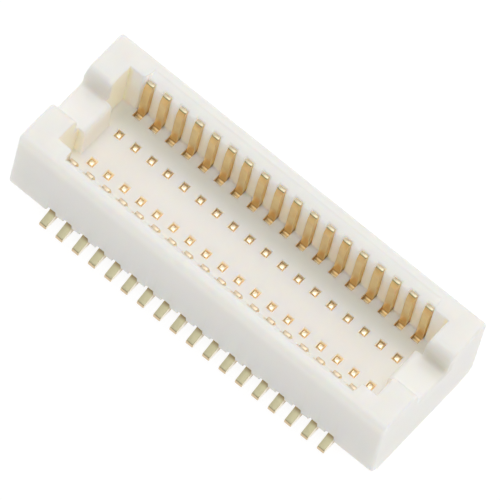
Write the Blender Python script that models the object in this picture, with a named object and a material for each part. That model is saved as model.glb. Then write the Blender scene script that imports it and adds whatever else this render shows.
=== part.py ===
# Surface-mount pin header connector, 2 rows of 18 contacts, open at the top.
# X runs along the rows, Z is up, and the origin is at the middle of the board plane.
import math

import bmesh
import bpy

MM = 0.001

# Contact pattern
CONTACTS_PER_ROW = 18
PITCH = 0.50 * MM
PRONG_OFFSET = 0.50 * MM  # middle plane to the middle of a prong

# Housing, plan
CAVITY_WIDTH = 2.84 * MM
LONG_WALL = 0.49 * MM
END_SPAN = 1.30 * MM  # last contact to the end face
END_WALL = 0.72 * MM
CORNER_MARGIN = 0.11 * MM  # last contact to the step in the long wall
CORNER_STEP = 0.11 * MM  # how far the long wall thickens at its ends
CORNER_STEP_RUN = 0.07 * MM
TONGUE_WIDTH = 0.98 * MM
TONGUE_REACH = 0.22 * MM
CORNER_RADIUS = 0.14 * MM

# Housing, heights
FOOT_STANDOFF = 0.12 * MM  # board to the end feet: the leads reach lower
UNDERSIDE_LIFT = 0.19 * MM  # end feet to the raised middle of the underside
FLOOR_THICKNESS = 0.70 * MM
CAVITY_DEPTH = 1.54 * MM
RIM_OUTER_RADIUS = 0.20 * MM
RIM_END_RADIUS = 0.10 * MM
LEAD_IN_DEPTH = 0.30 * MM  # slope inside the rim of the long walls
LEAD_IN_WIDTH = 0.23 * MM
LEAD_IN_RADIUS = 0.12 * MM  # where the slope meets the rim
LEAD_IN_OVERLAP = 0.06 * MM  # how far the drafted wall runs up behind the slope
CAVITY_DRAFT = 0.03 * MM
CAVITY_FILLET = 0.04 * MM

# Key notch in the middle of each end wall
NOTCH_WIDTH = 1.06 * MM
NOTCH_DEPTH = 0.595 * MM
NOTCH_CORNER_RADIUS = 0.17 * MM
NOTCH_MOUTH_RADIUS = 0.18 * MM
NOTCH_EDGE_RADIUS = 0.13 * MM  # on the tongue's inner edge

# Lower edges
NEAR_CHAMFER_OUT = 0.29 * MM  # end feet, measured across
NEAR_CHAMFER_UP = 0.225 * MM
FAR_CHAMFER_OUT = 0.52 * MM
FAR_CHAMFER_UP = 0.16 * MM
SKIRT_RISE = 0.12 * MM  # long wall's lower edge above the raised underside
SKIRT_RUN = 0.25 * MM
FOOT_MARGIN = 0.08 * MM  # last contact to the top of the end foot's slope
FOOT_SLOPE = 0.55 * MM
LEAD_NOTCH_HEIGHT = 0.43 * MM  # above the end feet
LEAD_NOTCH_WIDTH = 0.22 * MM  # flat top of the notch
LEAD_NOTCH_ROUND = 0.03 * MM
LEAD_NOTCH_DEPTH = 0.15 * MM  # in from the long wall's face
LEAD_WAY_HEIGHT = 0.36 * MM  # above the end feet: the slot's way out behind the notch

# Contact
CONTACT_WIDTH = 0.21 * MM
FIT = 0.01 * MM  # clearance all round a contact
GROOVE_WIDTH = 0.27 * MM
GROOVE_DEPTH = 0.065 * MM
GROOVE_START = 0.06 * MM  # above the floor
BLADE_THICKNESS = 0.17 * MM
BLADE_TOP_DROP = 0.255 * MM  # rim to the tip of the blade
BLADE_TIP_RADIUS = 0.02 * MM
BLADE_CHAMFER_OUT = 0.065 * MM
BLADE_CHAMFER_UP = 0.21 * MM
FOOT_DROP = 0.11 * MM  # floor to the heel of the blade
HEEL_REACH = 0.19 * MM
HEEL_RADIUS = 0.05 * MM
HEEL_NOSE_RADIUS = 0.09 * MM
PRONG_THICKNESS = 0.21 * MM
PRONG_ROUND = 0.05 * MM  # on the edges of the prong's tip
PRONG_DROP = 0.03 * MM  # floor to the prong's tip, which fills a window in the floor
BASE_RECESS = 0.05 * MM
BASE_HEIGHT = 0.275 * MM
LEAD_REACH = 0.24 * MM  # outside the long wall
LEAD_TIP_HEIGHT = 0.12 * MM
LEAD_ROOT_HEIGHT = 0.43 * MM  # the lead's top slopes up to the blade
LEAD_BEND_RADIUS = 0.12 * MM
LEAD_TIP_RADIUS = 0.06 * MM
LEAD_TOE_RADIUS = 0.02 * MM
LEAD_STEP_RUN = 0.20 * MM

# Sizes that follow from those above
ROW_HALF = (CONTACTS_PER_ROW - 1) * PITCH / 2
HALF_LENGTH = ROW_HALF + END_SPAN
CAVITY_HALF = CAVITY_WIDTH / 2
HALF_WIDTH = CAVITY_HALF + LONG_WALL
UNDERSIDE_Z = FOOT_STANDOFF + UNDERSIDE_LIFT
FLOOR_Z = UNDERSIDE_Z + FLOOR_THICKNESS
RIM_Z = FLOOR_Z + CAVITY_DEPTH
GROOVE_BACK = CAVITY_HALF + GROOVE_DEPTH
BLADE_BACK = GROOVE_BACK - FIT
BLADE_FRONT = BLADE_BACK - BLADE_THICKNESS
BLADE_TOP = RIM_Z - BLADE_TOP_DROP
HEEL_FRONT = BLADE_FRONT - HEEL_REACH
BASE_BOTTOM = UNDERSIDE_Z + BASE_RECESS
BASE_TOP = BASE_BOTTOM + BASE_HEIGHT
PRONG_INNER = PRONG_OFFSET - PRONG_THICKNESS / 2
PRONG_OUTER = PRONG_OFFSET + PRONG_THICKNESS / 2
PRONG_TOP = FLOOR_Z - PRONG_DROP
LEAD_TIP = HALF_WIDTH + LEAD_REACH
SLOT_WIDTH = CONTACT_WIDTH + 2 * FIT
OVERCUT = 0.10 * MM  # how far a cutter runs past the surface it opens
ARC_SHARE = 0.499  # most of a side that the arc at one of its ends may take

IVORY = (0.86, 0.84, 0.79)
GOLD = (0.83, 0.66, 0.33)


def clear_scene():
    for old in list(bpy.data.objects):
        bpy.data.objects.remove(old, do_unlink=True)


def plain_material(name, color, roughness, metallic):
    material = bpy.data.materials.new(name)
    material.use_nodes = True
    shader = material.node_tree.nodes["Principled BSDF"]
    shader.inputs["Base Color"].default_value = (*color, 1.0)
    shader.inputs["Roughness"].default_value = roughness
    shader.inputs["Metallic"].default_value = metallic
    return material


# An outline is a closed loop of corners (a, b, radius), listed in either direction.
# Each corner with a radius becomes an arc that touches both of its sides.
def rounded(corners, steps=4):
    points = []
    count = len(corners)
    for i, (a, b, radius) in enumerate(corners):
        if radius <= 0:
            points.append((a, b))
            continue
        before = corners[i - 1]
        after = corners[(i + 1) % count]
        u = (before[0] - a, before[1] - b)
        v = (after[0] - a, after[1] - b)
        lu = math.hypot(*u)
        lv = math.hypot(*v)
        u = (u[0] / lu, u[1] / lu)
        v = (v[0] / lv, v[1] / lv)
        half = math.acos(max(-1.0, min(1.0, u[0] * v[0] + u[1] * v[1]))) / 2
        reach = min(radius / math.tan(half), ARC_SHARE * lu, ARC_SHARE * lv)
        radius = reach * math.tan(half)
        middle = (u[0] + v[0], u[1] + v[1])
        size = math.hypot(*middle)
        depth = radius / math.sin(half)
        centre = (a + middle[0] / size * depth, b + middle[1] / size * depth)
        first = math.atan2(b + u[1] * reach - centre[1], a + u[0] * reach - centre[0])
        last = math.atan2(b + v[1] * reach - centre[1], a + v[0] * reach - centre[0])
        turn = (last - first + math.pi) % (2 * math.pi) - math.pi
        for k in range(steps + 1):
            angle = first + turn * k / steps
            points.append((centre[0] + radius * math.cos(angle), centre[1] + radius * math.sin(angle)))
    return points


# Puts an outline's pair of numbers and a distance along the axis in X, Y, Z order.
def placed(axis, a, b, along):
    if axis == "X":
        return (along, a, b)
    if axis == "Y":
        return (a, along, b)
    return (a, b, along)


def add_prism(bm, outline, axis, start, end):
    ring = [bm.verts.new(placed(axis, a, b, start)) for a, b in outline]
    face = bm.faces.new(ring)
    grown = bmesh.ops.extrude_face_region(bm, geom=[face])
    moved = [item for item in grown["geom"] if isinstance(item, bmesh.types.BMVert)]
    bmesh.ops.translate(bm, verts=moved, vec=placed(axis, 0.0, 0.0, end - start))


def finish_mesh(bm, name):
    bmesh.ops.recalc_face_normals(bm, faces=bm.faces)
    mesh = bpy.data.meshes.new(name)
    bm.to_mesh(mesh)
    bm.free()
    return mesh


def add_object(name, mesh, material=None):
    item = bpy.data.objects.new(name, mesh)
    bpy.context.scene.collection.objects.link(item)
    if material:
        mesh.materials.append(material)
    return item


# One cutter or body made of prisms: each entry is (outline, axis, start, end).
def prisms(name, entries, material=None):
    bm = bmesh.new()
    for outline, axis, start, end in entries:
        add_prism(bm, outline, axis, start, end)
    return add_object(name, finish_mesh(bm, name), material)


def combine(target, other, operation):
    other.hide_render = True
    other.display_type = "WIRE"
    modifier = target.modifiers.new(other.name, "BOOLEAN")
    modifier.operation = operation
    modifier.solver = "EXACT"
    modifier.object = other


def row_places():
    return [i * PITCH - ROW_HALF for i in range(CONTACTS_PER_ROW)]


def box_outline(a0, b0, a1, b1):
    return [(a0, b0), (a1, b0), (a1, b1), (a0, b1)]


def mirrored(outline):
    return [(-a, b) for a, b in outline]


# Cross-section of the body: long walls with a rounded rim and chamfered foot edges.
def body_section():
    y = HALF_WIDTH
    return rounded([
        (NEAR_CHAMFER_OUT - y, FOOT_STANDOFF, 0.0),
        (y - FAR_CHAMFER_OUT, FOOT_STANDOFF, 0.0),
        (y, FOOT_STANDOFF + FAR_CHAMFER_UP, 0.0),
        (y, RIM_Z, RIM_OUTER_RADIUS),
        (-y, RIM_Z, RIM_OUTER_RADIUS),
        (-y, FOOT_STANDOFF + NEAR_CHAMFER_UP, 0.0),
    ])


def body_plan():
    x = HALF_LENGTH
    y = HALF_WIDTH
    corners = [(-x, -y), (x, -y), (x, y), (-x, y)]
    return rounded([(a, b, CORNER_RADIUS) for a, b in corners])


def body_side():
    x = HALF_LENGTH
    return rounded([
        (-x, -OVERCUT, 0.0),
        (x, -OVERCUT, 0.0),
        (x, RIM_Z, RIM_END_RADIUS),
        (-x, RIM_Z, RIM_END_RADIUS),
    ])


# Plan of the cavity: wide beside the contacts, narrower at the corners, with the end wall's
# tongue reaching in between two corner pockets.
def cavity_plan(inset):
    wide = CAVITY_HALF - inset
    narrow = CAVITY_HALF - CORNER_STEP - inset
    step = ROW_HALF + CORNER_MARGIN - inset
    end = HALF_LENGTH - END_WALL - inset
    tongue = HALF_LENGTH - END_WALL - TONGUE_REACH - inset
    side = TONGUE_WIDTH / 2 + inset
    quarter = [
        (step, wide),
        (step + CORNER_STEP_RUN, narrow),
        (end, narrow),
        (end, side),
        (tongue, side),
    ]
    right = quarter + [(x, -y) for x, y in reversed(quarter)]
    return right + [(-x, -y) for x, y in right]


# The cavity's cutter: a fillet at the floor, then drafted walls up past the rim.
def cavity_cutter():
    levels = []
    for inset, height in quarter_arc(CAVITY_FILLET, CAVITY_FILLET, CAVITY_FILLET, -90, -1, steps=2):
        levels.append((FLOOR_Z + height, CAVITY_DRAFT + inset))
    levels.append((RIM_Z - LEAD_IN_DEPTH + LEAD_IN_OVERLAP, 0.0))
    levels.append((RIM_Z + OVERCUT, 0.0))
    bm = bmesh.new()
    rings = [[bm.verts.new((x, y, z)) for x, y in cavity_plan(inset)] for z, inset in levels]
    count = len(rings[0])
    for low, high in zip(rings, rings[1:]):
        for i in range(count):
            j = (i + 1) % count
            bm.faces.new((low[i], low[j], high[j], high[i]))
    bm.faces.new(rings[0])
    bm.faces.new(rings[-1])
    return add_object("cut_cavity", finish_mesh(bm, "cut_cavity"))


# Quarter circle round (a, b), from the start angle in degrees, turning left or right.
def quarter_arc(a, b, radius, start, turn=1, steps=4):
    points = []
    for k in range(steps + 1):
        angle = math.radians(start + turn * 90 * k / steps)
        points.append((a + radius * math.cos(angle), b + radius * math.sin(angle)))
    return points


# Section of a cutter that rounds a convex edge. The edge is at (a, b), the solid lies
# toward (side_a, side_b), and the cutter covers the corner outside the arc.
def edge_round(a, b, side_a, side_b, radius):
    arc = []
    for u, v in quarter_arc(1.0, 1.0, 1.0, 180):
        arc.append((a + side_a * radius * u, b + side_b * radius * v))
    far_a = a - side_a * OVERCUT
    far_b = b - side_b * OVERCUT
    first = (far_a, b + side_b * radius)
    last = (a + side_a * radius, far_b)
    return [first, *arc, last, (far_a, far_b)]


# Lead-in slopes inside the rim of the long walls, beside the contacts, rounded at the top.
def lead_in_cutter():
    reach = ROW_HALF + CORNER_MARGIN
    shift = OVERCUT * LEAD_IN_WIDTH / LEAD_IN_DEPTH
    section = rounded([
        (CAVITY_HALF - shift, RIM_Z - LEAD_IN_DEPTH - OVERCUT, 0.0),
        (CAVITY_HALF + LEAD_IN_WIDTH, RIM_Z, LEAD_IN_RADIUS),
        (CAVITY_HALF + LEAD_IN_WIDTH + OVERCUT, RIM_Z, 0.0),
        (CAVITY_HALF + LEAD_IN_WIDTH + OVERCUT, RIM_Z + OVERCUT, 0.0),
        (CAVITY_HALF - shift, RIM_Z + OVERCUT, 0.0),
    ])
    return prisms("cut_lead_in", [
        (section, "X", -reach, reach),
        (mirrored(section), "X", -reach, reach),
    ])


# Key notch through both end walls: round lower corners and a flared mouth.
def notch_section():
    y = NOTCH_WIDTH / 2
    mouth = y + NOTCH_MOUTH_RADIUS
    bottom = RIM_Z - NOTCH_DEPTH
    corner = quarter_arc(y - NOTCH_CORNER_RADIUS, bottom + NOTCH_CORNER_RADIUS, NOTCH_CORNER_RADIUS, -90)
    flare = quarter_arc(mouth, RIM_Z - NOTCH_MOUTH_RADIUS, NOTCH_MOUTH_RADIUS, 180, -1)
    half = [*corner, *flare, (mouth, RIM_Z + OVERCUT)]
    return half + mirrored(half)[::-1]


def notch_cutter():
    inner = HALF_LENGTH - END_WALL - TONGUE_REACH - OVERCUT
    outer = HALF_LENGTH + OVERCUT
    section = notch_section()
    return prisms("cut_notch", [
        (section, "X", inner, outer),
        (section, "X", -outer, -inner),
    ])


# Rounds the notch floor's inner edge, on the tongue.
def notch_edge_cutter():
    bottom = RIM_Z - NOTCH_DEPTH
    tongue = HALF_LENGTH - END_WALL - TONGUE_REACH
    section = edge_round(tongue, bottom, 1, -1, NOTCH_EDGE_RADIUS)
    across = TONGUE_WIDTH / 2 + OVERCUT
    return prisms("cut_notch_edges", [
        (section, "Y", -across, across),
        (mirrored(section), "Y", -across, across),
    ])


# Raised middle of the underside, between the end feet, with a chamfered skirt at each side.
def underside_cutter():
    skirt = UNDERSIDE_Z + SKIRT_RISE
    inner = HALF_WIDTH - SKIRT_RUN
    outer = HALF_WIDTH + OVERCUT
    past = skirt + OVERCUT * SKIRT_RISE / SKIRT_RUN
    section = [
        (-outer, -OVERCUT),
        (outer, -OVERCUT),
        (outer, past),
        (inner, UNDERSIDE_Z),
        (-inner, UNDERSIDE_Z),
        (-outer, past),
    ]
    top = ROW_HALF + FOOT_MARGIN
    slope = FOOT_SLOPE / skirt
    bm = bmesh.new()
    ends = []
    for side in (-1, 1):
        ring = []
        for y, z in section:
            x = side * (top + slope * (skirt - z))
            ring.append(bm.verts.new((x, y, z)))
        ends.append(ring)
    count = len(section)
    for i in range(count):
        j = (i + 1) % count
        bm.faces.new((ends[0][i], ends[0][j], ends[1][j], ends[1][i]))
    bm.faces.new(ends[0])
    bm.faces.new(ends[1])
    return add_object("cut_underside", finish_mesh(bm, "cut_underside"))


# Slot for one contact of the far row: prong window, heel opening, base and the lead's way out.
def slot_section():
    low = -OVERCUT
    top = FLOOR_Z + OVERCUT
    base = BASE_TOP + FIT
    way = FOOT_STANDOFF + LEAD_WAY_HEIGHT
    return [
        (PRONG_INNER - FIT, low),
        (LEAD_TIP, low),
        (LEAD_TIP, way),
        (GROOVE_BACK, way),
        (GROOVE_BACK, top),
        (HEEL_FRONT - FIT, top),
        (HEEL_FRONT - FIT, base),
        (PRONG_OUTER + FIT, base),
        (PRONG_OUTER + FIT, top),
        (PRONG_INNER - FIT, top),
    ]


def slot_cutter():
    section = slot_section()
    half = SLOT_WIDTH / 2
    entries = []
    for x in row_places():
        entries.append((section, "X", x - half, x + half))
        entries.append((mirrored(section), "X", x - half, x + half))
    return prisms("cut_slots", entries)


# Grooves in the long walls where the blades stand.
def groove_cutter():
    half = GROOVE_WIDTH / 2
    inner = CAVITY_HALF - CORNER_STEP - CAVITY_DRAFT - CAVITY_FILLET - OVERCUT
    section = box_outline(inner, FLOOR_Z + GROOVE_START, GROOVE_BACK, RIM_Z + OVERCUT)
    entries = []
    for x in row_places():
        entries.append((section, "X", x - half, x + half))
        entries.append((mirrored(section), "X", x - half, x + half))
    return prisms("cut_grooves", entries)


# Rounded notches in the skirt over the leads, which leave small teeth between them.
def lead_notch_outline():
    half = LEAD_NOTCH_WIDTH / 2
    wide = half + LEAD_NOTCH_ROUND
    top = FOOT_STANDOFF + LEAD_NOTCH_HEIGHT
    arc = []
    for u, v in quarter_arc(0.0, 0.0, 1.0, 90, -1):
        arc.append((half + LEAD_NOTCH_ROUND * u, UNDERSIDE_Z + (top - UNDERSIDE_Z) * v))
    right = [*arc, (wide, -OVERCUT)]
    return right + mirrored(right)[::-1]


def lead_notch_cutter():
    outline = lead_notch_outline()
    inner = HALF_WIDTH - LEAD_NOTCH_DEPTH
    outer = HALF_WIDTH + OVERCUT
    entries = []
    for x in row_places():
        moved = [(a + x, b) for a, b in outline]
        entries.append((moved, "Y", inner, outer))
        entries.append((moved, "Y", -outer, -inner))
    return prisms("cut_lead_notches", entries)


def build_housing():
    plastic = plain_material("ivory_plastic", IVORY, 0.45, 0.0)
    housing = prisms("housing", [(body_section(), "X", -HALF_LENGTH - OVERCUT, HALF_LENGTH + OVERCUT)], plastic)
    plan = prisms("keep_plan", [(body_plan(), "Z", -OVERCUT, RIM_Z + OVERCUT)])
    side = prisms("keep_side", [(body_side(), "Y", -HALF_WIDTH - OVERCUT, HALF_WIDTH + OVERCUT)])
    combine(housing, plan, "INTERSECT")
    combine(housing, side, "INTERSECT")
    for cutter in (
        underside_cutter(),
        cavity_cutter(),
        lead_in_cutter(),
        notch_cutter(),
        notch_edge_cutter(),
        groove_cutter(),
        slot_cutter(),
        lead_notch_cutter(),
    ):
        combine(housing, cutter, "DIFFERENCE")
    return housing


# Outline of a far-row contact in the plane across the rows.
def contact_outline():
    floor_heel = FLOOR_Z - FOOT_DROP
    return rounded([
        (LEAD_TIP, 0.0, LEAD_TOE_RADIUS),
        (LEAD_TIP, LEAD_TIP_HEIGHT, LEAD_TIP_RADIUS),
        (BLADE_BACK, LEAD_ROOT_HEIGHT, LEAD_BEND_RADIUS),
        (BLADE_BACK, BLADE_TOP, BLADE_TIP_RADIUS),
        (BLADE_FRONT + BLADE_CHAMFER_OUT, BLADE_TOP, BLADE_TIP_RADIUS),
        (BLADE_FRONT, BLADE_TOP - BLADE_CHAMFER_UP, 0.0),
        (BLADE_FRONT, floor_heel, HEEL_RADIUS),
        (HEEL_FRONT, floor_heel, HEEL_NOSE_RADIUS),
        (HEEL_FRONT, BASE_TOP, 0.0),
        (PRONG_OUTER, BASE_TOP, 0.0),
        (PRONG_OUTER, PRONG_TOP, PRONG_ROUND),
        (PRONG_INNER, PRONG_TOP, PRONG_ROUND),
        (PRONG_INNER, BASE_BOTTOM, 0.0),
        (BLADE_BACK - LEAD_STEP_RUN, BASE_BOTTOM, 0.0),
        (BLADE_BACK, 0.0, 0.0),
    ], steps=2)


def contact_mesh():
    half = CONTACT_WIDTH / 2
    bm = bmesh.new()
    add_prism(bm, contact_outline(), "X", -half, half)
    return finish_mesh(bm, "contact_strip")


def build_contacts():
    gold = plain_material("gold_plate", GOLD, 0.28, 1.0)
    mesh = contact_mesh()
    mesh.materials.append(gold)
    for side, turn in (("far", 0.0), ("near", math.pi)):
        for number, x in enumerate(row_places(), 1):
            contact = add_object(f"contact_{side}_{number:02d}", mesh)
            contact.location = (x, 0.0, 0.0)
            contact.rotation_euler = (0.0, 0.0, turn)


def main():
    clear_scene()
    build_housing()
    build_contacts()


main()
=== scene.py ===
import bpy
import numpy as np
from mathutils import Matrix, Vector


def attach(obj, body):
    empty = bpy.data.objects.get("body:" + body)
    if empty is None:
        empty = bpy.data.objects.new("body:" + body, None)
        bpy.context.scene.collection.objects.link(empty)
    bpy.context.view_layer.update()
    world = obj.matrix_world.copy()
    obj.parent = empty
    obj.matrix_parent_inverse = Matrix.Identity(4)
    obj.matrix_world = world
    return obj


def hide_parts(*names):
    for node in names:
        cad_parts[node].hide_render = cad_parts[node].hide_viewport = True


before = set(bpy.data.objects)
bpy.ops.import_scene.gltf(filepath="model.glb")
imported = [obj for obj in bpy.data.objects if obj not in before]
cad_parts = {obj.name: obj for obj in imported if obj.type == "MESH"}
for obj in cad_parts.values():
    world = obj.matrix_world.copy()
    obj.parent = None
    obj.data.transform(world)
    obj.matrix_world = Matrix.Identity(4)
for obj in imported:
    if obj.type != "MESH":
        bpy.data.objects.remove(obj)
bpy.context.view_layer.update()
print("frame loaded:", len(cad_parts), "nodes")

mm = 0.001

row = {
    "count": 18,
    "pitch": 0.50,
}
rowPlaces = (np.arange(row["count"]) - (row["count"] - 1) / 2) * row["pitch"]


# Shapes

# Height lost to a quarter round of this radius, from the distance past its tangent line.
def roundDrop(past, radius):
    past = np.clip(past, 0.0, radius)
    return radius - np.sqrt(radius ** 2 - past ** 2)


# Places where a quarter round of this radius is cut into equal turns, from its tangent line on.
def roundSteps(radius, turns):
    return radius * np.sin(np.linspace(0.0, np.pi / 2, turns + 1))


# Places without repeats, in order.
def sortedLines(places):
    return np.unique(np.round(np.concatenate(places), 6))


# The same with those closer than the gap merged, mirrored about zero.
def mirroredLines(places, gap=0.0012):
    places = sortedLines(places)
    kept = places[np.concatenate(([True], np.diff(places) > gap))]
    return np.concatenate((-kept[:0:-1], kept))


def makePiece(name, points, faces, material):
    mesh = bpy.data.meshes.new(name)
    mesh.from_pydata((np.asarray(points) * mm).tolist(), [], faces)
    mesh.polygons.foreach_set("use_smooth", np.ones(len(mesh.polygons), dtype=bool))
    mesh.materials.append(material)
    mesh.update()
    piece = bpy.data.objects.new(name, mesh)
    bpy.context.scene.collection.objects.link(piece)
    return piece


def evenNormals(piece, weight=50):
    even = piece.modifiers.new("even", "WEIGHTED_NORMAL")
    even.keep_sharp = True
    even.weight = weight


# An index grid with its first column repeated at the end.
def closeRing(index):
    return np.concatenate((index, index[:, :1]), axis=1)


# Quads between neighbouring rows and columns of an index grid.
def gridQuads(index, flip=False):
    quads = np.stack((index[:-1, :-1], index[1:, :-1], index[1:, 1:], index[:-1, 1:]), axis=-1)
    quads = quads.reshape(-1, 4)
    return quads[:, ::-1] if flip else quads


# Shader wires

class Wire:
    # One output of a node. Arithmetic on it adds Math nodes.
    def __init__(self, tree, socket):
        self.tree = tree
        self.socket = socket

    def node(self, kind, settings=None, inputs=None, output=0):
        made = self.tree.nodes.new(kind)
        for key, value in (settings or {}).items():
            setattr(made, key, value)
        for key, value in (inputs or {}).items():
            if isinstance(value, Wire):
                self.tree.links.new(value.socket, made.inputs[key])
            else:
                made.inputs[key].default_value = value
        return Wire(self.tree, made.outputs[output])

    def math(self, operation, *values):
        return self.node("ShaderNodeMath", {"operation": operation}, dict(enumerate(values)))

    def __add__(self, other):
        return self.math("ADD", self, other)

    def __radd__(self, other):
        return self.math("ADD", other, self)

    def __sub__(self, other):
        return self.math("SUBTRACT", self, other)

    def __rsub__(self, other):
        return self.math("SUBTRACT", other, self)

    def __mul__(self, other):
        return self.math("MULTIPLY", self, other)

    def __rmul__(self, other):
        return self.math("MULTIPLY", other, self)

    def absolute(self):
        return self.math("ABSOLUTE", self)

    def larger(self, other):
        return self.math("MAXIMUM", self, other)

    def part(self, name):
        return self.node("ShaderNodeSeparateXYZ", inputs={0: self}, output=name)

    # 0 at low, 1 at high, and a smooth step between them; low may be the larger one.
    def step(self, low, high):
        return self.node("ShaderNodeMapRange", {"interpolation_type": "SMOOTHSTEP"},
                         {"Value": self, "From Min": low, "From Max": high})

    def noise(self, scale, detail=2.0, roughness=0.5, stretch=(1.0, 1.0, 1.0)):
        moved = self.node("ShaderNodeMapping", {"vector_type": "POINT"},
                          {"Vector": self, "Scale": stretch})
        return self.node("ShaderNodeTexNoise", inputs={
            "Vector": moved, "Scale": scale, "Detail": detail, "Roughness": roughness})


def startMaterial(name):
    material = bpy.data.materials.new(name)
    material.use_nodes = True
    tree = material.node_tree
    shader = tree.nodes["Principled BSDF"]
    place = Wire(tree, None).node("ShaderNodeTexCoord", output="Object")
    inMm = place.node("ShaderNodeVectorMath", {"operation": "SCALE"}, {0: place, "Scale": 1 / mm})
    return material, shader, inMm


# From low to high by a factor; each is a wire or three numbers.
def blendColor(start, factor, low, high):
    low, high = ((*color, 1.0) if isinstance(color, tuple) else color for color in (low, high))
    inputs = {0: factor, 6: low, 7: high}
    return start.node("ShaderNodeMix", {"data_type": "RGBA"}, inputs, output=2)


# Product of smooth steps. A zone's row is a measure's name, its place of 0 and its place of 1.
def zoneMask(measures, zone):
    mask, *others = (measures[name].step(low, high) for name, low, high in zone)
    for other in others:
        mask = mask * other
    return mask


def feed(shader, name, wire):
    wire.tree.links.new(wire.socket, shader.inputs[name])


def feedRoughness(shader, look, cloud):
    spread = look["roughnessSpread"]
    feed(shader, "Roughness", cloud * spread + look["roughness"] - spread / 2)


def feedBump(shader, height, strength, depth):
    inputs = {"Strength": strength, "Distance": depth * mm, "Height": height}
    feed(shader, "Normal", height.node("ShaderNodeBump", inputs=inputs))


# Sizes of the housing, in mm and degrees.
body = {
    "halfLength": 5.55,
    "halfWidth": 1.91,
    "cornerRadius": 0.08,
    "rim": 2.55,
    "rimRadius": 0.20,
    "farRimRadius": 0.13,
    "endRadius": 0.07,
    "floor": 1.01,
    "wideHalf": 1.42,
    "narrowHalf": 1.31,
    "stepStart": 4.36,
    "stepEnd": 4.43,
    "cavityEnd": 4.83,
    "tongueFace": 4.61,
    "tongueHalf": 0.49,
    "tongueRound": 0.13,
    "endWallStart": 4.50,  # from here outwards the notch and the tongue's round are cut
    "tongueReach": 0.05,  # how far past the notch's side the tongue's round goes
    "edge": 0.045,
    "draft": 0.02,
    "fillet": 0.045,
    "leadInDepth": 0.30,
    "leadInWidth": 0.23,
    "leadInRound": 0.12,
    "leadInSpread": 0.6,  # reach of the round's blend and its depth, as shares of the tangent
    "leadInSoft": 0.125,
    "grooveHalf": 0.135,
    "grooveBack": 1.485,
    "grooveEdge": 0.022,
    "grooveDraft": 0.004,
    "grooveFillet": 0.015,
    "notchFloor": 1.955,
    "farNotch": (0.53, 0.29),  # place of the key notch's side, radius of its rounded mouth
    "nearNotch": (0.60, 0.25),
    "notchCorner": 0.17,
    "foot": 0.12,
    "underside": 0.31,
    "skirt": 0.43,
    "skirtRun": 0.25,
    "nearChamfer": (0.29, 0.225),
    "farChamfer": (0.52, 0.16),
    "footStart": 4.33,
    "footSlope": 1.279,
    "leadNotchTop": 0.55,
    "leadNotchHalf": 0.11,
    "leadNotchRound": 0.03,
    "leadNotchShare": 0.6,  # of the skirt's run that a lead notch takes up
    "lowerRound": 0.025,
    "roundShare": 0.293,  # of a radius, from the corner to the middle of its arc
    "windowHalf": (0.092, 0.108),
    "windowPlace": 0.50,
    "sharpAngle": 42.0,
    "normalWeight": 70,
}


# Finishes

plasticLook = {
    "base": (0.925, 0.910, 0.872),
    "cloud": (0.905, 0.888, 0.845),
    "roughness": 0.46,
    "roughnessSpread": 0.10,
    "roughnessNoise": (9.0, 3.0),  # scale, detail and, in longer rows, roughness and stretch
    "cloudNoise": (0.55, 3.0, 0.55),
    "flowNoise": (1.6, 4.0, 0.6, (0.35, 1.0, 1.6)),
    "flowShare": 0.4,
    "grain": 0.18,
    "grainDepth": 0.02,
    "fineNoise": (22.0, 4.0, 0.65),
    "coarseNoise": (5.0, 2.0),
    "coarseShare": 0.3,
    "translucency": 0.80,
    "translucentReach": 0.35,
    "translucentTint": (1.0, 0.80, 0.55),
    "glowHigh": (0.19, 0.215, 0.24),  # light that comes through the inner walls, near the rim
    "glowLow": (0.115, 0.09, 0.045),  # and near the floor
    "glowEdge": (0.07, 0.07, 0.065),  # the near wall's outer edge, below the rim
    "glowPocket": (0.18, 0.135, 0.01),
    "glowWindow": (0.25, 0.19, 0.115),
    # painted warm light bounced off the gold prong, on the walls of a floor window
    "window": (0.91, 0.80, 0.64),
    # painted shade, warmed by light bounced off the gold, on the slot walls beside a blade's heel
    "heelHole": (0.80, 0.62, 0.40),
    "glowHeelHole": (0.10, 0.06, 0.02),
    "glowNearGroove": (0.09, 0.07, 0.045),
    "glowEnds": 0.6,  # shares of the glow: end walls, near long wall, far flank of a far window
    "glowNearSide": 0.33,
    "glowWindowFar": 0.15,
    "floorShade": (0.745, 0.75, 0.70),
    "notchShade": (0.83, 0.815, 0.755),
    "lowShade": (0.87, 0.86, 0.825),
    # painted shade, warmed by light bounced off the gold, in the near row's grooves round the tips
    "nearGroove": (0.72, 0.63, 0.51),
}

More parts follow.
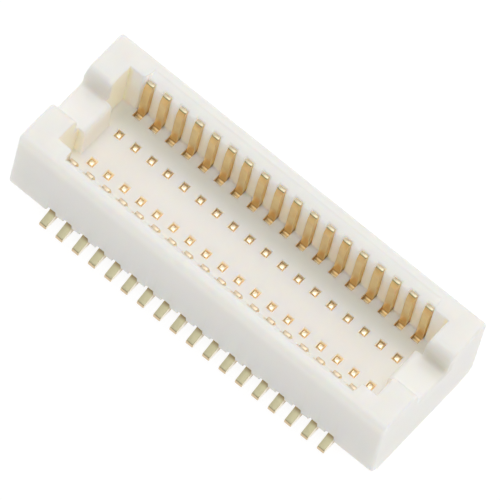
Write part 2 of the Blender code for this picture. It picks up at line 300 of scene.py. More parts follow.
# Where each tone of the plastic lies: a measure, its place of 0 and its place of 1, in mm.
plasticZones = {
    "cloud": [("cloud", 0.35, 0.70)],
    "flow": [("flow", 0.30, 0.75)],
    "floorShade": [("y", 0.45, 0.95), ("y", 1.38, 1.02), ("z", 1.08, 1.02), ("ax", 4.9, 4.5)],
    "lowShade": [("y", -1.84, -1.90), ("z", 2.3, 1.0)],
    "nearGroove": [("y", -1.26, -1.34), ("y", -1.62, -1.50), ("across", 0.17, 0.13),
                   ("ax", 4.5, 4.4), ("z", 1.2, 1.6)],
    "notchShade": [("ax", 4.75, 5.0), ("y", 0.05, 0.42), ("y", 0.80, 0.60), ("z", 2.45, 2.15),
                   ("z", 1.8, 1.9), ("x", -1.0, 1.0)],
    "opening": [("across", 0.14, 0.12), ("ax", 4.45, 4.40), ("z", 1.008, 0.99)],
    "window": [("fromWindow", 0.16, 0.12), ("z", 0.84, 0.88)],
    "heelHole": [("ay", 1.02, 1.06), ("ay", 1.36, 1.33), ("z", 0.60, 0.75)],
    "notchFloor": [("ay", 0.72, 0.60), ("z", 1.85, 1.93)],
    "endWall": [("ax", 4.50, 4.60)],
    "longWall": [("ay", 1.22, 1.32)],
    "longWallEnds": [("ax", 4.30, 4.50)],
    "farSide": [("y", -0.6, 0.6)],
    "cavityWall": [("ax", 5.0, 4.9), ("ay", 1.78, 1.62), ("z", 1.0, 1.05), ("z", 2.57, 2.48)],
    "high": [("z", 1.5, 2.3)],
    "pocket": [("ax", 4.68, 4.78)],
    "windowNear": [("y", 0.57, 0.50)],
    "edge": [("y", -1.72, -1.86), ("z", 2.05, 2.50)],
}

# Gold plating: base and deep are its own colour, the tones after them are painted light and shade
goldLook = {
    "base": (0.91, 0.71, 0.385),
    "deep": (0.85, 0.62, 0.31),
    # painted light on the far blades' tips: sheen on the top facet, shade on its front edge, warm
    # reflection at its back
    "tip": (0.66, 0.58, 0.42),
    "tipEdge": (0.46, 0.44, 0.28),
    "tipBack": (0.80, 0.64, 0.36),
    # painted sheen on the near row's tips, with painted shade at their back
    "nearTip": (0.79, 0.64, 0.46),
    "nearTipBack": (0.52, 0.44, 0.32),
    # painted shade on a blade's heel down in its slot, darkest at its front
    "heel": (0.54, 0.40, 0.21),
    "nose": (0.34, 0.27, 0.16),
    # painted highlight on a prong's crown, painted shade on its flanks and painted light on its
    # right flank
    "prong": (0.92, 0.79, 0.57),
    "prongSide": (0.72, 0.56, 0.35),
    "prongRight": (1.00, 0.84, 0.70),
    "glowFoot": (0.20, 0.135, 0.05),  # light thrown on the foot of a blade by the floor round it
    # painted light on a lead: a pale sheen on its top, highlights along its edges, shade on its toe
    # and where it goes under the wall
    "lead": (1.00, 0.93, 0.60),
    "leadSide": (0.94, 0.87, 0.70),
    "toe": (0.66, 0.51, 0.32),
    "leadRoot": (1.00, 0.76, 0.38),
    "patchNoise": (2.4, 3.0, 0.6),
    "roughness": 0.30,
    "roughnessSpread": 0.10,
    "roughnessNoise": (7.0, 3.0),
    "brush": 0.05,
    "brushDepth": 0.01,
    "brushNoise": (14.0, 3.0, 0.6, (2.5, 1.0, 0.25)),
}

# Where each tone of the gold lies, in the same way. Past the patches, these are the places of
# painted sheen, highlights, reflections and shade.
goldZones = {
    "patch": [("patch", 0.3, 0.7)],
    "nearRow": [("y", 0.5, -0.5)],
    "tip": [("z", 2.262, 2.28)],
    "tipTop": [("ay", 1.385, 1.40)],
    "tipBack": [("ay", 1.445, 1.465)],
    "nearTipBack": [("ay", 1.415, 1.445)],
    "heel": [("z", 0.96, 0.92), ("ay", 1.06, 1.12)],
    "heelBack": [("ay", 1.22, 1.27)],
    "prong": [("ay", 0.8, 0.7)],
    "crown": [("z", 0.94, 0.972), ("fromWindow", 0.060, 0.042)],
    "prongRight": [("beside", 0.03, 0.06)],
    "foot": [("z", 1.42, 0.97), ("z", 0.90, 0.94), ("y", 1.25, 1.28), ("across", 0.104, 0.090)],
    "lead": [("ay", 1.75, 1.90)],
    "leadSide": [("across", 0.090, 0.100)],
    "toe": [("ay", 2.12, 2.15)],
    "leadRoot": [("z", 0.24, 0.33)],
}


black = (0.0, 0.0, 0.0)


# The places that the zones use: along each axis, away from the middle planes, beside and across the
# nearest contact, and away from the middle of a window.
def takeMeasures(place):
    x, y, z = (place.part(axis) for axis in "XYZ")
    turns = x * (1 / row["pitch"])
    beside = (turns.math("FRACT", turns) - 0.5) * row["pitch"]
    away = y.absolute()
    return {
        "x": x, "y": y, "z": z, "ax": x.absolute(), "ay": away,
        "beside": beside, "across": beside.absolute(),
        "fromWindow": (away - body["windowPlace"]).absolute(),
    }


def ivoryPlastic():
    look = plasticLook
    material, shader, place = startMaterial("ivoryPlastic")
    measures = takeMeasures(place)
    measures["cloud"] = place.noise(*look["cloudNoise"])
    measures["flow"] = place.noise(*look["flowNoise"])
    zones = {name: zoneMask(measures, zone) for name, zone in plasticZones.items()}
    window = zones["opening"] * zones["window"]
    heelHole = zones["opening"] * zones["heelHole"]
    mixed = zones["cloud"] * (1 - look["flowShare"]) + zones["flow"] * look["flowShare"]
    color = blendColor(place, mixed, look["base"], look["cloud"])
    # painted shade: the floor by the far wall, low on the near face, the near grooves and the key
    # notches
    for name in ("floorShade", "lowShade", "nearGroove", "notchShade"):
        color = blendColor(place, zones[name], color, look[name])
    # painted warm shade on the slot walls beside the heels
    color = blendColor(place, heelHole, color, look["heelHole"])
    # painted warm light bounced off the gold prongs, on the walls of the floor windows
    feed(shader, "Base Color", blendColor(place, window, color, look["window"]))
    # thin walls round the cavity let light through: whiter near the rim, warmer near the floor
    besideNotch = 1 - zones["notchFloor"]
    endWall = zones["endWall"] * besideNotch * look["glowEnds"]
    longWall = zones["longWall"] * (1 - zones["longWallEnds"] * (1 - look["glowEnds"]))
    side = zones["farSide"] * (1 - look["glowNearSide"]) + look["glowNearSide"]
    through = (longWall * side).larger(endWall) * zones["cavityWall"]
    tone = blendColor(place, zones["high"], look["glowLow"], look["glowHigh"])
    tone = blendColor(place, zones["pocket"] * besideNotch, tone, look["glowPocket"])
    glow = blendColor(place, through, black, tone)
    lit = zones["windowNear"] * (1 - look["glowWindowFar"]) + look["glowWindowFar"]
    glow = blendColor(place, window * lit, glow, look["glowWindow"])
    glow = blendColor(place, heelHole, glow, look["glowHeelHole"])
    glow = blendColor(place, zones["nearGroove"], glow, look["glowNearGroove"])
    feed(shader, "Emission Color", blendColor(place, zones["edge"], glow, look["glowEdge"]))
    shader.inputs["Emission Strength"].default_value = 1.0
    feedRoughness(shader, look, place.noise(*look["roughnessNoise"]))
    fine = place.noise(*look["fineNoise"]) * (1 - look["coarseShare"])
    grain = fine + place.noise(*look["coarseNoise"]) * look["coarseShare"]
    feedBump(shader, grain, look["grain"], look["grainDepth"])
    shader.inputs["Subsurface Weight"].default_value = look["translucency"]
    shader.inputs["Subsurface Radius"].default_value = look["translucentTint"]
    shader.inputs["Subsurface Scale"].default_value = look["translucentReach"] * mm
    return material


def goldPlate():
    look = goldLook
    material, shader, place = startMaterial("goldPlate")
    measures = takeMeasures(place)
    measures["patch"] = place.noise(*look["patchNoise"])
    zones = {name: zoneMask(measures, zone) for name, zone in goldZones.items()}
    color = blendColor(place, zones["patch"], look["base"], look["deep"])
    # painted sheen, shade and reflection on the tips of both rows
    tip = blendColor(place, zones["tipTop"], look["tipEdge"], look["tip"])
    tip = blendColor(place, zones["tipBack"], tip, look["tipBack"])
    nearTip = blendColor(place, zones["nearTipBack"], look["nearTip"], look["nearTipBack"])
    tip = blendColor(place, zones["nearRow"], tip, nearTip)
    color = blendColor(place, zones["tip"], color, tip)
    # painted shade on the heels in the slots
    heel = blendColor(place, zones["heelBack"], look["nose"], look["heel"])
    color = blendColor(place, zones["heel"], color, heel)
    # painted highlight and shade on the prongs
    prong = blendColor(place, zones["prongRight"], look["prongSide"], look["prongRight"])
    prong = blendColor(place, zones["crown"], prong, look["prong"])
    color = blendColor(place, zones["prong"], color, prong)
    # painted sheen, highlights and shade on the leads
    lead = blendColor(place, zones["leadSide"], look["lead"], look["leadSide"])
    lead = blendColor(place, zones["toe"], lead, look["toe"])
    lead = blendColor(place, zones["leadRoot"], lead, look["leadRoot"])
    feed(shader, "Base Color", blendColor(place, zones["lead"], color, lead))
    feed(shader, "Emission Color", blendColor(place, zones["foot"], black, look["glowFoot"]))
    shader.inputs["Emission Strength"].default_value = 1.0
    feedRoughness(shader, look, place.noise(*look["roughnessNoise"]))
    feedBump(shader, place.noise(*look["brushNoise"]), look["brush"], look["brushDepth"])
    shader.inputs["Metallic"].default_value = 1.0
    return material


plastic = ivoryPlastic()
gold = goldPlate()
print("finishes ready")


# Housing

# Its height grid, in mm: lines that only keep the quads even, gaps between close lines, and the
# margin for telling whether a line lies on an edge.
grid = {
    "floorLines": (0.0, 0.2, 0.8, 1.1, 1.55),
    "cellLines": (0.0, 0.05, 0.215, 0.25),
    "endLine": 5.1,
    "lowLines": (0.7, 1.2),
    "leadInSpan": 0.06,
    "seam": np.array([-0.0015, 0.0015]),  # the two lines either side of a jump in height
    "stepSeam": np.array([-0.001, 0.001]),
    "notchSeam": 0.002,  # from a lead notch's side to the next line
    "margin": 0.0005,
    "quarterTurn": np.array([0.0, 0.5, 0.866, 1.0]),  # sine of a quarter turn in three steps
}


# Plan place of a grid point: the four corners of the rectangle are pulled onto quarter circles,
# and the outline can be drawn in by an inset.
def planPlace(x, y, inset):
    radius = body["cornerRadius"]
    cornerX = body["halfLength"] - radius
    cornerY = body["halfWidth"] - radius
    u = np.clip((np.abs(x) - cornerX) / radius, 0.0, 1.0)
    v = np.clip((np.abs(y) - cornerY) / radius, 0.0, 1.0)
    size = radius - inset
    outX = np.minimum(np.abs(x), cornerX) + size * u * np.sqrt(1 - v ** 2 / 2)
    outY = np.minimum(np.abs(y), cornerY) + size * v * np.sqrt(1 - u ** 2 / 2)
    return np.sign(x) * outX, np.sign(y) * outY


# Distance along X to the middle of the nearest contact.
def fromContact(x):
    return np.min(np.abs(x[..., None] - rowPlaces), axis=-1)


# Height across a wall from the distance outside the cavity's outline: flat floor, quarter-round
# fillet, steep wall, quarter-round edge, then the top.
def wallProfile(distance, top, floor, edge, draft, fillet):
    rise = np.clip((distance + draft + fillet) / fillet, 0.0, 1.0)
    low = floor + fillet * (1 - np.sqrt(1 - rise ** 2))
    turn = np.clip(1 - distance / edge, 0.0, 1.0)
    high = top - edge * (1 - np.sqrt(1 - turn ** 2))
    climb = np.clip((distance + draft) / draft, 0.0, 1.0)
    middle = (floor + fillet) * (1 - climb) + (top - edge) * climb
    return np.where(distance < -draft, low, np.where(distance < 0, middle, high))


# Section of the key notch in an end wall: flat floor, round corner, upright side, flared mouth.
def notchHeight(y):
    b = body
    half, flare = (np.where(y < 0, near, far)
                   for near, far in zip(b["nearNotch"], b["farNotch"]))
    across = np.abs(y)
    corner = b["notchFloor"] + roundDrop(across - (half - b["notchCorner"]), b["notchCorner"])
    mouth = b["rim"] - roundDrop(half + flare - across, flare)
    return np.where(across < half, corner, mouth)


# Slope inside the rim, met by a round at the top: the lower of the two lines, blended over the
# round's tangent length.
def leadInHeight(y):
    b = body
    slope = b["leadInDepth"] / b["leadInWidth"]
    line = b["rim"] - b["leadInDepth"] + (np.maximum(y, b["narrowHalf"]) - b["wideHalf"]) * slope
    reach = b["leadInRound"] * np.tan(np.arctan(slope) / 2)
    blend = np.clip((line - b["rim"]) / (reach * slope) / b["leadInSpread"], -1.0, 1.0)
    soft = b["leadInSoft"] * (1 - blend ** 2) ** 2 * reach * slope
    return np.minimum(line, b["rim"]) - soft


def topHeight(x, y):
    b = body
    ax = np.abs(x)
    ay = np.abs(y)
    top = np.full(x.shape, b["rim"])
    top = np.where(ax < b["stepStart"], leadInHeight(ay), top)
    near = roundDrop(-y - (b["halfWidth"] - b["rimRadius"]), b["rimRadius"])
    outer = near + roundDrop(y - (b["halfWidth"] - b["farRimRadius"]), b["farRimRadius"])
    end = roundDrop(ax - (b["halfLength"] - b["endRadius"]), b["endRadius"])
    endWall = ax > b["endWallStart"]
    top = np.where(endWall, np.minimum(top, notchHeight(y)), top)
    tongue = roundDrop(b["tongueRound"] - (ax - b["tongueFace"]), b["tongueRound"])
    onTongue = endWall & (ay < b["nearNotch"][0] + b["tongueReach"])
    top = top - np.where(onTongue, tongue, 0.0)
    top = top - np.hypot(outer, end)
    wall = np.interp(ax, [b["stepStart"], b["stepEnd"]], [b["wideHalf"], b["narrowHalf"]])
    cavity = np.maximum(ax - b["cavityEnd"], ay - wall)
    cavity = np.maximum(cavity, np.minimum(ax - b["tongueFace"], b["tongueHalf"] - ay))
    height = wallProfile(cavity, top, b["floor"], b["edge"], b["draft"], b["fillet"])
    groove = np.maximum(fromContact(x) - b["grooveHalf"], ay - b["grooveBack"])
    cut = wallProfile(groove, top, b["floor"], b["grooveEdge"], b["grooveDraft"], b["grooveFillet"])
    return np.minimum(height, cut)


# Underside: end feet with chamfered long edges, a raised middle with sloped skirts, and a
# round-topped notch over each lead.
def lowHeight(x, y):
    b = body
    ax = np.abs(x)
    ay = np.abs(y)
    nearRun, nearUp = b["nearChamfer"]
    farRun, farUp = b["farChamfer"]
    nearEdge = (-y - (b["halfWidth"] - nearRun)) * nearUp / nearRun
    farEdge = (y - (b["halfWidth"] - farRun)) * farUp / farRun
    foot = b["foot"] + np.maximum(0.0, np.maximum(nearEdge, farEdge))
    pastSkirt = np.maximum(0.0, ay - (b["halfWidth"] - b["skirtRun"]))
    skirt = b["underside"] + pastSkirt * (b["skirt"] - b["underside"]) / b["skirtRun"]
    slope = b["skirt"] - (ax - b["footStart"]) / b["footSlope"]
    low = np.maximum(foot, np.minimum(skirt, slope))
    side = np.clip((fromContact(x) - b["leadNotchHalf"]) / b["leadNotchRound"], 0.0, 1.0)
    arch = b["underside"] + (b["leadNotchTop"] - b["underside"]) * np.sqrt(1 - side ** 2)
    atWall = ay > b["halfWidth"] - b["skirtRun"] * b["leadNotchShare"]
    return np.where(atWall, np.maximum(low, arch), low)


# Lines for a wall's fillet and edge. Out is 1 where a wall rises outwards, -1 for the tongue.
def wallLines(place, out, edge, draft, fillet):
    foot = -draft - fillet + fillet * grid["quarterTurn"]
    head = edge * (1 - grid["quarterTurn"][::-1])
    return place + out * np.concatenate((foot, head))


def gridLines():
    b = body
    half = b["halfWidth"]
    wide = (b["edge"], b["draft"], b["fillet"])
    narrow = (b["grooveEdge"], b["grooveDraft"], b["grooveFillet"])
    notches = []
    for place, flare in (b["farNotch"], b["nearNotch"]):
        notches.append(place - b["notchCorner"] + roundSteps(b["notchCorner"], 4)[:-1])
        notches.append(place + grid["seam"])
        notches.append(place + flare - roundSteps(flare, 5)[:-1])
    yLines = mirroredLines([
        grid["floorLines"],
        *notches,
        wallLines(b["tongueHalf"], -1, *wide),
        wallLines(b["narrowHalf"], 1, *wide),
        wallLines(b["wideHalf"], 1, *wide),
        wallLines(b["grooveBack"], 1, *narrow),
        b["wideHalf"] + b["leadInWidth"] + np.linspace(-grid["leadInSpan"], grid["leadInSpan"], 7),
        half - b["rimRadius"] + roundSteps(b["rimRadius"], 7),
        [half - b["cornerRadius"]],
    ])
    lead = b["leadNotchHalf"] + roundSteps(b["leadNotchRound"], 4)
    groove = wallLines(b["grooveHalf"], 1, *narrow)
    cell = np.concatenate((
        grid["cellLines"], lead, [lead[-1] + grid["notchSeam"]], groove[:1], groove[3:],
    ))
    cells = (rowPlaces[:, None] + np.concatenate((-cell, cell))).ravel()
    xLines = mirroredLines([
        cells[cells >= 0.0],
        b["stepStart"] + grid["stepSeam"],
        np.linspace(b["stepStart"], b["stepEnd"], 5),
        [b["footStart"], b["footStart"] + b["footSlope"] * (b["skirt"] - b["foot"])],
        wallLines(b["tongueFace"], 1, *wide),
        b["tongueFace"] + b["tongueRound"] - roundSteps(b["tongueRound"], 4),
        wallLines(b["cavityEnd"], 1, *wide),
        [grid["endLine"], b["halfLength"] - b["cornerRadius"]],
        b["halfLength"] - b["endRadius"] + roundSteps(b["endRadius"], 5),
    ])
    notchEnds = half - b["skirtRun"] * b["leadNotchShare"] + grid["seam"]
    low = np.concatenate((grid["lowLines"], [half - b["skirtRun"]], notchEnds))
    lowLines = sortedLines((
        [0.0, -half + b["nearChamfer"][0], half - b["farChamfer"][0]],
        -low,
        low,
        yLines[np.abs(yLines) > half - b["cornerRadius"] - grid["margin"]],
    ))
    return xLines, yLines, lowLines


# A closed shell: a height grid for everything seen from above, a coarser one for the underside,
# and walls that join their borders ring by ring.
def makeHousing():
    b = body
    xLines, yLines, lowLines = gridLines()
    gx, gy = np.meshgrid(xLines, yLines, indexing="ij")
    px, py = planPlace(gx, gy, 0.0)
    topPoints = np.stack((px, py, topHeight(gx, gy)), axis=-1)
    lx, ly = np.meshgrid(xLines, lowLines, indexing="ij")
    qx, qy = planPlace(lx, ly, b["lowerRound"])
    lowPoints = np.stack((qx, qy, lowHeight(lx, ly)), axis=-1)
    nx, ny = gx.shape
    nLow = len(lowLines)
    topIndex = np.arange(nx * ny).reshape(nx, ny)
    lowIndex = nx * ny + np.arange(nx * nLow).reshape(nx, nLow)
    # once round the border of the lower grid: numbers of its lines across X and across Y
    alongX = np.arange(nx)
    alongY = np.arange(1, nLow - 1)
    i = np.concatenate((alongX, np.full(nLow - 2, nx - 1), alongX[::-1], np.zeros(nLow - 2, int)))
    k = np.concatenate((np.zeros(nx, int), alongY, np.full(nx, nLow - 1), alongY[::-1]))
    bx = xLines[i]
    by = lowLines[k]
    rings = []
    midway = b["lowerRound"] * b["roundShare"]
    for inset, lift in ((midway, midway), (0.0, b["lowerRound"])):
        rx, ry = planPlace(bx, by, inset)
        rings.append(np.stack((rx, ry, lowHeight(bx, by) + lift), axis=-1))
    start = nx * ny + nx * nLow
    ringIndex = start + np.arange(2 * len(i)).reshape(2, -1)
    points = np.concatenate((topPoints.reshape(-1, 3), lowPoints.reshape(-1, 3), *rings))
    loop = closeRing(np.stack((lowIndex[i, k], *ringIndex)))
    faces = gridQuads(topIndex).tolist()
    faces += gridQuads(lowIndex, True).tolist()
    faces += gridQuads(loop, True).tolist()
    # upright walls: a quad for each line that both grids have, and one flat face at each end
    straight = b["halfWidth"] - b["cornerRadius"]
    onEnd = np.abs(by) < straight - grid["margin"]
    match = np.abs(yLines[None, :] - by[:, None]).argmin(axis=1)
    borders = (topIndex[i, match], ringIndex[1], onEnd)
    high, low, flat = (np.append(border, border[:1]) for border in borders)
    upright = ~(flat[:-1] | flat[1:])
    walls = np.stack((low[:-1], low[1:], high[1:], high[:-1]), axis=-1)
    faces += walls[upright].tolist()
    onUpper = np.abs(yLines) <= straight + grid["margin"]
    onLower = np.abs(by) <= straight + grid["margin"]
    for column in (nx - 1, 0):
        lower = ringIndex[1][(i == column) & onLower]
        upper = topIndex[column][onUpper]
        upper = upper[::-1] if column else upper
        faces.append(lower.tolist() + upper.tolist())
    return makePiece("housingShell", points, faces, plastic)


housingPiece = makeHousing()
print("housing grid:", len(housingPiece.data.polygons), "faces")


# Slots and windows cut through the floor

# The slot of a far contact: places along Y and heights, in mm.
slot = {
    "half": 0.115,
    "prongInner": 0.385,
    "prongOuter": 0.615,
    "prongTop": 0.90,
    "baseTop": 0.645,
    "heelFront": 1.105,
    "back": 1.479,
    "wayTop": 0.48,
    "low": -0.10,
    "high": 1.11,
    "leadTip": 2.15,
    "windowOverlap": 0.03,
    "windowFlare": [(-0.03, 0.0), (-0.015, 0.004), (-0.004, 0.015), (0.02, 0.051)],  # height, flare
}


# A section carried along X at every contact, for the far row and mirrored for the near row.
def sectionCutter(name, section, half):
    section = np.asarray(section)
    count = len(section)
    places = np.concatenate((rowPlaces, rowPlaces))
    side = np.repeat([1.0, -1.0], len(rowPlaces))
    y = side[:, None, None] * section[None, None, :, 0]
    z = np.broadcast_to(section[None, None, :, 1], (len(places), 2, count))
    x = places[:, None, None] + side[:, None, None] * np.array([-half, half])[None, :, None]
    points = np.stack(np.broadcast_arrays(x, y, z), axis=-1).reshape(-1, 3)
    base = np.arange(len(places))[:, None] * 2 * count
    ring = np.arange(count)
    nextRing = np.roll(ring, -1)
    sides = np.stack((ring, nextRing, nextRing + count, ring + count), axis=-1)
    faces = (base[:, :, None] + sides[None]).reshape(-1, 4).tolist()
    faces += (base + ring[::-1]).tolist()
    faces += (base + count + ring).tolist()
    return makePiece(name, points, faces, plastic)


# Square windows with flared upper edges: squares of growing size joined from the bottom up.
def windowCutter(name):
    b = body
    height, flare = np.array(slot["windowFlare"]).T
    level = np.concatenate(([slot["prongTop"] - slot["windowOverlap"]], b["floor"] + height))
    half = np.asarray(b["windowHalf"]) + np.concatenate(([0.0], flare))[:, None]
    corner = np.array([(-1.0, -1.0), (1.0, -1.0), (1.0, 1.0), (-1.0, 1.0)])
    centre = np.array([(x, side * b["windowPlace"]) for side in (1.0, -1.0) for x in rowPlaces])
    ring = centre[:, None, None, :] + half[None, :, None, :] * corner[None, None, :, :]
    z = np.broadcast_to(level[None, :, None], ring.shape[:3])
    points = np.concatenate((ring, z[..., None]), axis=-1).reshape(-1, 3)
    levels = len(level)
    sides = gridQuads(closeRing(np.arange(levels * 4).reshape(levels, 4)), True)
    base = np.arange(len(centre)) * levels * 4
    faces = (base[:, None, None] + sides[None]).reshape(-1, 4).tolist()
    faces += (base[:, None] + np.array([3, 2, 1, 0])).tolist()
    faces += (base[:, None] + (levels - 1) * 4 + np.arange(4)).tolist()
    return makePiece(name, points, faces, plastic)


def cutHousing(piece):
    s = slot
    section = [
        (s["prongInner"], s["low"]), (s["leadTip"], s["low"]), (s["leadTip"], s["wayTop"]),
        (s["back"], s["wayTop"]), (s["back"], s["high"]), (s["heelFront"], s["high"]),
        (s["heelFront"], s["baseTop"]), (s["prongOuter"], s["baseTop"]),
        (s["prongOuter"], s["prongTop"]), (s["prongInner"], s["prongTop"]),
    ]
    cutters = [sectionCutter("cutSlots", section, s["half"]), windowCutter("cutWindows")]
    for cutter in cutters:
        modifier = piece.modifiers.new(cutter.name, "BOOLEAN")
        modifier.operation = "DIFFERENCE"
        modifier.solver = "EXACT"
        modifier.object = cutter
    graph = bpy.context.evaluated_depsgraph_get()
    cut = bpy.data.meshes.new_from_object(piece.evaluated_get(graph))
    piece.modifiers.clear()
    old = piece.data
    piece.data = cut
    cut.name = "housingShell"
    bpy.data.meshes.remove(old)
    for cutter in cutters:
        bpy.data.objects.remove(cutter, do_unlink=True)
    cut.polygons.foreach_set("use_smooth", np.ones(len(cut.polygons), dtype=bool))
    cut.set_sharp_from_angle(angle=np.radians(body["sharpAngle"]))
    evenNormals(piece, body["normalWeight"])


cutHousing(housingPiece)
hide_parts("housing")
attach(housingPiece, "root")
print("housing cut:", len(housingPiece.data.polygons), "faces")


# Contacts

contact = {
    "halfWidth": 0.105,
    "edge": 0.016,
    "outline": [  # y, z, corner radius
        (2.15, 0.0, 0.02), (2.15, 0.12, 0.06), (1.475, 0.43, 0.12), (1.475, 2.295, 0.02),
        (1.37, 2.295, 0.02), (1.305, 2.085, 0.03), (1.305, 0.90, 0.05), (1.115, 0.90, 0.09),
        (1.115, 0.635, 0.02), (0.605, 0.635, 0.02), (0.605, 0.98, 0.07), (0.395, 0.98, 0.07),
        (0.395, 0.36, 0.02), (1.275, 0.36, 0.02), (1.475, 0.0, 0.02),
    ],
    "cornerTurns": 5,
    "prongReach": 0.8,  # the prong lies nearer to the middle than this
    "prongTaper": ((0.70, 0.90, 0.93, 0.98), (1.0, 0.84, 0.82, 0.52)),  # heights, shares of width
}


# A loop of corners with each one replaced by an arc that touches both of its sides.
def roundedLoop(corners, turns):
    corners = np.asarray(corners)
    place = corners[:, :2]
    radius = corners[:, 2]
    u = np.roll(place, 1, axis=0) - place
    v = np.roll(place, -1, axis=0) - place
    u /= np.linalg.norm(u, axis=1, keepdims=True)
    v /= np.linalg.norm(v, axis=1, keepdims=True)
    half = np.arccos(np.clip((u * v).sum(axis=1), -1.0, 1.0)) / 2
    middle = u + v
    middle /= np.linalg.norm(middle, axis=1, keepdims=True)
    centre = place + middle * (radius / np.sin(half))[:, None]
    reach = (radius / np.tan(half))[:, None]
    first = place + u * reach - centre
    last = place + v * reach - centre
    start = np.arctan2(first[:, 1], first[:, 0])
    turn = (np.arctan2(last[:, 1], last[:, 0]) - start + np.pi) % (2 * np.pi) - np.pi
    angle = start[:, None] + turn[:, None] * np.linspace(0.0, 1.0, turns + 1)[None]
    spokes = np.stack((np.cos(angle), np.sin(angle)), axis=-1)
    return (centre[:, None] + radius[:, None, None] * spokes).reshape(-1, 2)


# The loop drawn in by a distance, square to the line between each point's neighbours.
def insetLoop(loop, distance):
    along = np.roll(loop, -1, axis=0) - np.roll(loop, 1, axis=0)
    along /= np.linalg.norm(along, axis=1, keepdims=True)
    inward = np.stack((-along[:, 1], along[:, 0]), axis=-1)
    return loop + inward * distance


# A strip: the outline carried across the contact's width, its edges turned over by a quarter round.
def contactShape():
    c = contact
    loop = roundedLoop(c["outline"], c["cornerTurns"])
    turn = np.radians([90.0, 60.0, 30.0, 0.0])
    across = c["halfWidth"] - c["edge"] + c["edge"] * np.sin(turn)
    draw = c["edge"] - c["edge"] * np.cos(turn)
    x = np.concatenate((-across, across[::-1]))
    inset = np.concatenate((draw, draw[::-1]))
    rings = np.stack([insetLoop(loop, d) for d in inset])
    taper = np.interp(rings[..., 1], *c["prongTaper"])
    share = np.where(rings[..., 0] < c["prongReach"], taper, 1.0)
    wide = x[:, None] * share
    points = np.concatenate((wide[..., None], rings), axis=-1).reshape(-1, 3)
    count = len(loop)
    index = np.arange(len(points)).reshape(len(x), count)
    faces = gridQuads(closeRing(index), True).tolist()
    faces.append(index[0][::-1].tolist())
    faces.append(index[-1].tolist())
    return points, faces


def makeContacts():
    points, faces = contactShape()
    for side, turn in (("far", 1.0), ("near", -1.0)):
        for number, x in enumerate(rowPlaces, 1):
            moved = points * (turn, turn, 1.0) + (x, 0.0, 0.0)
            piece = makePiece(f"plated_{side}_{number:02d}", moved, faces, gold)
            evenNormals(piece)
            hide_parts(f"contact_{side}_{number:02d}")
            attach(piece, "root")


makeContacts()
print("contacts ready:", 2 * row["count"])


# Floor, light and camera, in metres and degrees

studio = {
    "tableSize": 1.2,
    "tableHeight": -0.00001,  # a hair under the leads
    "tableColor": (0.14, 0.14, 0.14),
    "tableShade": 0.96,
    "tableNoise": (0.02, 2.0),
    "tableCloud": (0.2, 0.8),
    "tableRoughness": 0.8,
    "tableGlow": 0.895,
    "airEven": 0.25,
    "airSides": [  # direction that is brighter, strength added there
        ((0.0, 0.0, 1.0), 0.18),
        ((0.0, 1.0, 0.2), 0.08),
        ((-1.0, 0.0, 0.2), 0.25),
    ],
    "airFocus": 2.0,
    "lights": [  # name, place, size, power in watts, colour
        ("topLight", (0.0, 0.02, 0.45), 0.40, 0.84, (1.0, 1.0, 1.0)),
        ("backRightLight", (0.20, 0.25, 0.25), 0.20, 0.16, (1.0, 1.0, 1.0)),
        ("rightLight", (0.36, -0.02, 0.12), 0.20, 0.14, (1.0, 1.0, 1.0)),
        ("backLeftLight", (-0.25, 0.22, 0.25), 0.20, 0.16, (1.0, 1.0, 1.0)),
    ],
    "azimuth": 25.268,
    "elevation": 61.731,
    "roll": 16.174,
    "aim": (-0.0000654, 0.0002855, 0.00101),
    "range": 0.257712,
    "lens": 794.802,
    "sensor": 36.0,
    "clip": (0.02, 5.0),
}


# A pale table lit from inside, so that it stays white under the part.
def makeTable():
    mesh = bpy.data.meshes.new("lightTable")
    corner = np.array([(-0.5, -0.5, 0.0), (0.5, -0.5, 0.0), (0.5, 0.5, 0.0), (-0.5, 0.5, 0.0)])
    corner = corner * studio["tableSize"] + (0.0, 0.0, studio["tableHeight"])
    mesh.from_pydata(corner.tolist(), [], [(0, 1, 2, 3)])
    material, shader, place = startMaterial("tablePaper")
    tone = place.noise(*studio["tableNoise"]).step(*studio["tableCloud"])
    shade = tuple(c * studio["tableShade"] for c in studio["tableColor"])
    feed(shader, "Base Color", blendColor(place, tone, studio["tableColor"], shade))
    shader.inputs["Roughness"].default_value = studio["tableRoughness"]
    shader.inputs["Emission Color"].default_value = (1.0, 1.0, 1.0, 1.0)
    shader.inputs["Emission Strength"].default_value = studio["tableGlow"]
    mesh.materials.append(material)
    piece = bpy.data.objects.new("lightTable", mesh)
    bpy.context.scene.collection.objects.link(piece)


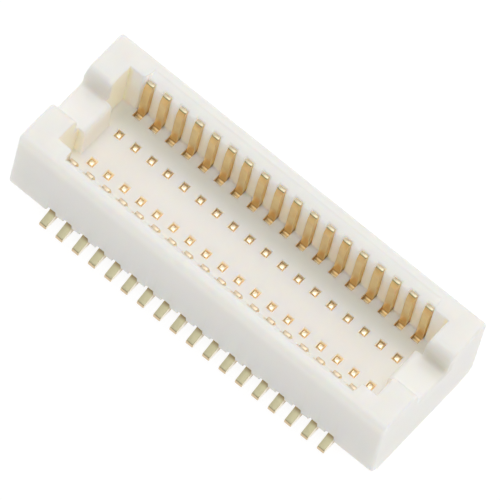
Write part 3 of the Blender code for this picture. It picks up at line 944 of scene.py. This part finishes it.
# White air, brighter toward a few sides: the cosine from each side, raised to a power.
def makeAir():
    world = bpy.data.worlds.new("studioAir")
    world.use_nodes = True
    bpy.context.scene.world = world
    background = world.node_tree.nodes["Background"]
    background.inputs["Color"].default_value = (1.0, 1.0, 1.0, 1.0)
    direction = Wire(world.node_tree, None).node("ShaderNodeTexCoord", output="Generated")
    strength = studio["airEven"]
    for side, extra in studio["airSides"]:
        cosine = direction.node("ShaderNodeVectorMath", {"operation": "DOT_PRODUCT"},
                                {0: direction, 1: Vector(side).normalized()}, output="Value")
        facing = cosine.larger(0.0)
        strength = strength + facing.math("POWER", facing, studio["airFocus"]) * extra
    feed(background, "Strength", strength)


def makeLights():
    for name, place, size, power, color in studio["lights"]:
        light = bpy.data.lights.new(name, "AREA")
        light.shape = "DISK"
        light.size = size
        light.energy = power
        light.color = color
        item = bpy.data.objects.new(name, light)
        item.location = place
        item.rotation_euler = (-Vector(place)).to_track_quat("-Z", "Y").to_euler()
        bpy.context.scene.collection.objects.link(item)


def makeCamera():
    azimuth = np.radians(studio["azimuth"])
    elevation = np.radians(studio["elevation"])
    roll = np.radians(studio["roll"])
    away = Vector((np.sin(azimuth) * np.cos(elevation), -np.cos(azimuth) * np.cos(elevation),
                   np.sin(elevation)))
    level = Vector((np.cos(azimuth), np.sin(azimuth), 0.0))
    up = away.cross(level)
    right = level * np.cos(roll) + up * np.sin(roll)
    top = away.cross(right)
    camera = bpy.data.cameras.new("productCamera")
    camera.lens = studio["lens"]
    camera.sensor_width = studio["sensor"]
    camera.clip_start, camera.clip_end = studio["clip"]
    item = bpy.data.objects.new("productCamera", camera)
    turn = Matrix((right, top, away)).transposed().to_4x4()
    item.matrix_world = Matrix.Translation(Vector(studio["aim"]) + away * studio["range"]) @ turn
    bpy.context.scene.collection.objects.link(item)
    bpy.context.scene.camera = item


makeTable()
makeAir()
makeLights()
makeCamera()
display = bpy.context.scene.view_settings
display.view_transform = "Standard"
display.look = "None"
print("studio ready")
